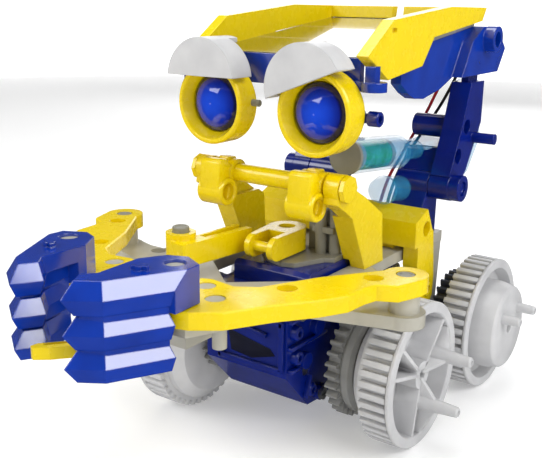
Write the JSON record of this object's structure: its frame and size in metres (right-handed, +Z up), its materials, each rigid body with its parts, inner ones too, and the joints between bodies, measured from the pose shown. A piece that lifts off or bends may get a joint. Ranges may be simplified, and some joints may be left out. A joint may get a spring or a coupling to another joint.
{
  "type": "solar robot kit",
  "caption": "Toy robot of snap-together plastic: geared wheels, swinging arms with claw hands, a neck that folds back and a head with a solar panel and lidded eyes.",
  "frame": {"origin": "on the ground under the middle of the bounding box", "axes": "-Y is the way the robot faces, +X is its own left side, +Z is up"},
  "size_m": [0.132, 0.205, 0.1371],
  "materials": {
    "yellow_plastic": "moulded, glossy",
    "blue_plastic": "moulded, glossy",
    "white_plastic": "moulded",
    "grey_plastic": "moulded",
    "gear_plastic": "moulded",
    "rear_gear_plastic": "moulded",
    "clear_cyan_plastic": "tinted, translucent",
    "lens_blue": "tinted dome",
    "solar_glass": "glazed cell under clear cover",
    "cell_green": "sleeved battery cell",
    "steel": "plated",
    "red_insulation": "wire insulation",
    "black_insulation": "wire insulation"
  },
  "bodies": {
    "root": {"chassis_plate": "grey_plastic", "gearbox_left": "blue_plastic", "gearbox_right": "blue_plastic", "gearbox_screws": "steel", "motor": "steel", "motor_cover": "blue_plastic", "snap_pins": "yellow_plastic", "yoke_left": "yellow_plastic", "yoke_right": "yellow_plastic", "crossbar": "yellow_plastic", "cap_pins": "yellow_plastic", "leg_left": "yellow_plastic", "leg_right": "yellow_plastic", "rear_frame": "yellow_plastic", "axle_brackets": "grey_plastic", "neck_bracket_left": "blue_plastic", "neck_bracket_right": "blue_plastic", "capsule_shell": "clear_cyan_plastic", "battery_cell": "cell_green", "cell_contacts": "steel", "capsule_strap": "clear_cyan_plastic", "lower_pod": "clear_cyan_plastic", "red_wire": "red_insulation", "black_wire": "black_insulation", "linkage_bracket": "grey_plastic"},
    "pinion": {"motor_pinion": "white_plastic"},
    "idler": {"idler_gear": "white_plastic"},
    "left_drive": {"left_axle": "steel", "left_output_gear": "white_plastic", "drive_gear": "gear_plastic", "front_left_wheel": "white_plastic"},
    "right_drive": {"right_axle": "steel", "right_output_gear": "white_plastic", "right_hub_gear": "gear_plastic", "front_right_wheel": "white_plastic"},
    "rear_set": {"rear_axle": "steel", "rear_gear": "rear_gear_plastic", "rear_left_wheel": "white_plastic", "rear_right_wheel": "white_plastic"},
    "left_arm": {"left_arm": "yellow_plastic", "left_wrist_bracket": "grey_plastic"},
    "right_arm": {"right_arm": "yellow_plastic", "right_wrist_bracket": "grey_plastic"},
    "left_hand": {"left_hand": "blue_plastic", "thumb": "yellow_plastic"},
    "right_hand": {"right_hand": "blue_plastic"},
    "clevis": {"clevis": "yellow_plastic"},
    "push_link": {"push_link": "yellow_plastic"},
    "neck": {"neck_arm_left": "blue_plastic", "neck_arm_right": "blue_plastic"},
    "head": {"head_side_left": "blue_plastic", "head_side_right": "blue_plastic", "roof_left": "yellow_plastic", "roof_right": "yellow_plastic", "solar_panel": "solar_glass", "brow_beam": "blue_plastic", "eye_rings": "yellow_plastic", "eye_lenses": "lens_blue"},
    "left_lid": {"eyelid_left": "white_plastic"},
    "right_lid": {"eyelid_right": "white_plastic"}
  },
  "joints": [
    {"name": "left_drive_spin", "type": "hinge", "parent": "root", "child": "left_drive", "pos_m": [0, 0.0051, 0.024], "axis": [1, 0, 0], "continuous": true},
    {"name": "right_drive_spin", "type": "hinge", "parent": "root", "child": "right_drive", "pos_m": [0, -0.0139, 0.024], "axis": [1, 0, 0], "continuous": true},
    {"name": "idler_spin", "type": "hinge", "parent": "root", "child": "idler", "pos_m": [0, -0.0044, 0.03567], "axis": [1, 0, 0], "continuous": true},
    {"name": "pinion_spin", "type": "hinge", "parent": "root", "child": "pinion", "pos_m": [0, 0.009, 0.03827], "axis": [1, 0, 0], "continuous": true},
    {"name": "rear_set_spin", "type": "hinge", "parent": "root", "child": "rear_set", "pos_m": [0, 0.0611, 0.024], "axis": [1, 0, 0], "continuous": true},
    {"name": "left_arm_swing", "type": "hinge", "parent": "root", "child": "left_arm", "pos_m": [0.0556, -0.0183, 0.0626], "axis": [0, 0, 1], "range_deg": [0, 18]},
    {"name": "right_arm_swing", "type": "hinge", "parent": "root", "child": "right_arm", "pos_m": [-0.0556, -0.0183, 0.0626], "axis": [0, 0, 1], "range_deg": [-18, 0]},
    {"name": "left_hand_turn", "type": "hinge", "parent": "left_arm", "child": "left_hand", "pos_m": [0.0196, -0.0743, 0.07], "axis": [0, 0, 1], "range_deg": [0, 15]},
    {"name": "right_hand_turn", "type": "hinge", "parent": "right_arm", "child": "right_hand", "pos_m": [-0.0196, -0.0743, 0.07], "axis": [0, 0, 1], "range_deg": [-15, 0]},
    {"name": "clevis_turn", "type": "hinge", "parent": "root", "child": "clevis", "pos_m": [0.0023, -0.0002, 0.0624], "axis": [0, 0, 1], "range_deg": [-1, 8]},
    {"name": "push_link_turn", "type": "hinge", "parent": "root", "child": "push_link", "pos_m": [-0.0165, -0.032, 0.0634], "axis": [0, 0, 1], "range_deg": [-8, 1]},
    {"name": "neck_lean", "type": "hinge", "parent": "root", "child": "neck", "pos_m": [0, 0.0603, 0.073], "axis": [-1, 0, 0], "range_deg": [0, 10]},
    {"name": "head_tilt", "type": "hinge", "parent": "neck", "child": "head", "pos_m": [0, 0.0785, 0.1183], "axis": [-1, 0, 0], "range_deg": [-1, 14]},
    {"name": "left_lid_turn", "type": "hinge", "parent": "head", "child": "left_lid", "pos_m": [0.02, -0.0043, 0.111], "axis": [0, -1, 0], "range_deg": [-42, 3]},
    {"name": "right_lid_turn", "type": "hinge", "parent": "head", "child": "right_lid", "pos_m": [-0.02, -0.0043, 0.111], "axis": [0, -1, 0], "range_deg": [-21, 21]}
  ],
  "couplings": [
    {"joint": "right_drive_spin", "follows": "left_drive_spin", "ratio": 1},
    {"joint": "idler_spin", "follows": "left_drive_spin", "ratio": -0.5},
    {"joint": "pinion_spin", "follows": "left_drive_spin", "ratio": 1.2},
    {"joint": "right_arm_swing", "follows": "left_arm_swing", "ratio": -1},
    {"joint": "clevis_turn", "follows": "left_arm_swing", "ratio": 0.4},
    {"joint": "push_link_turn", "follows": "left_arm_swing", "ratio": -0.4}
  ]
}
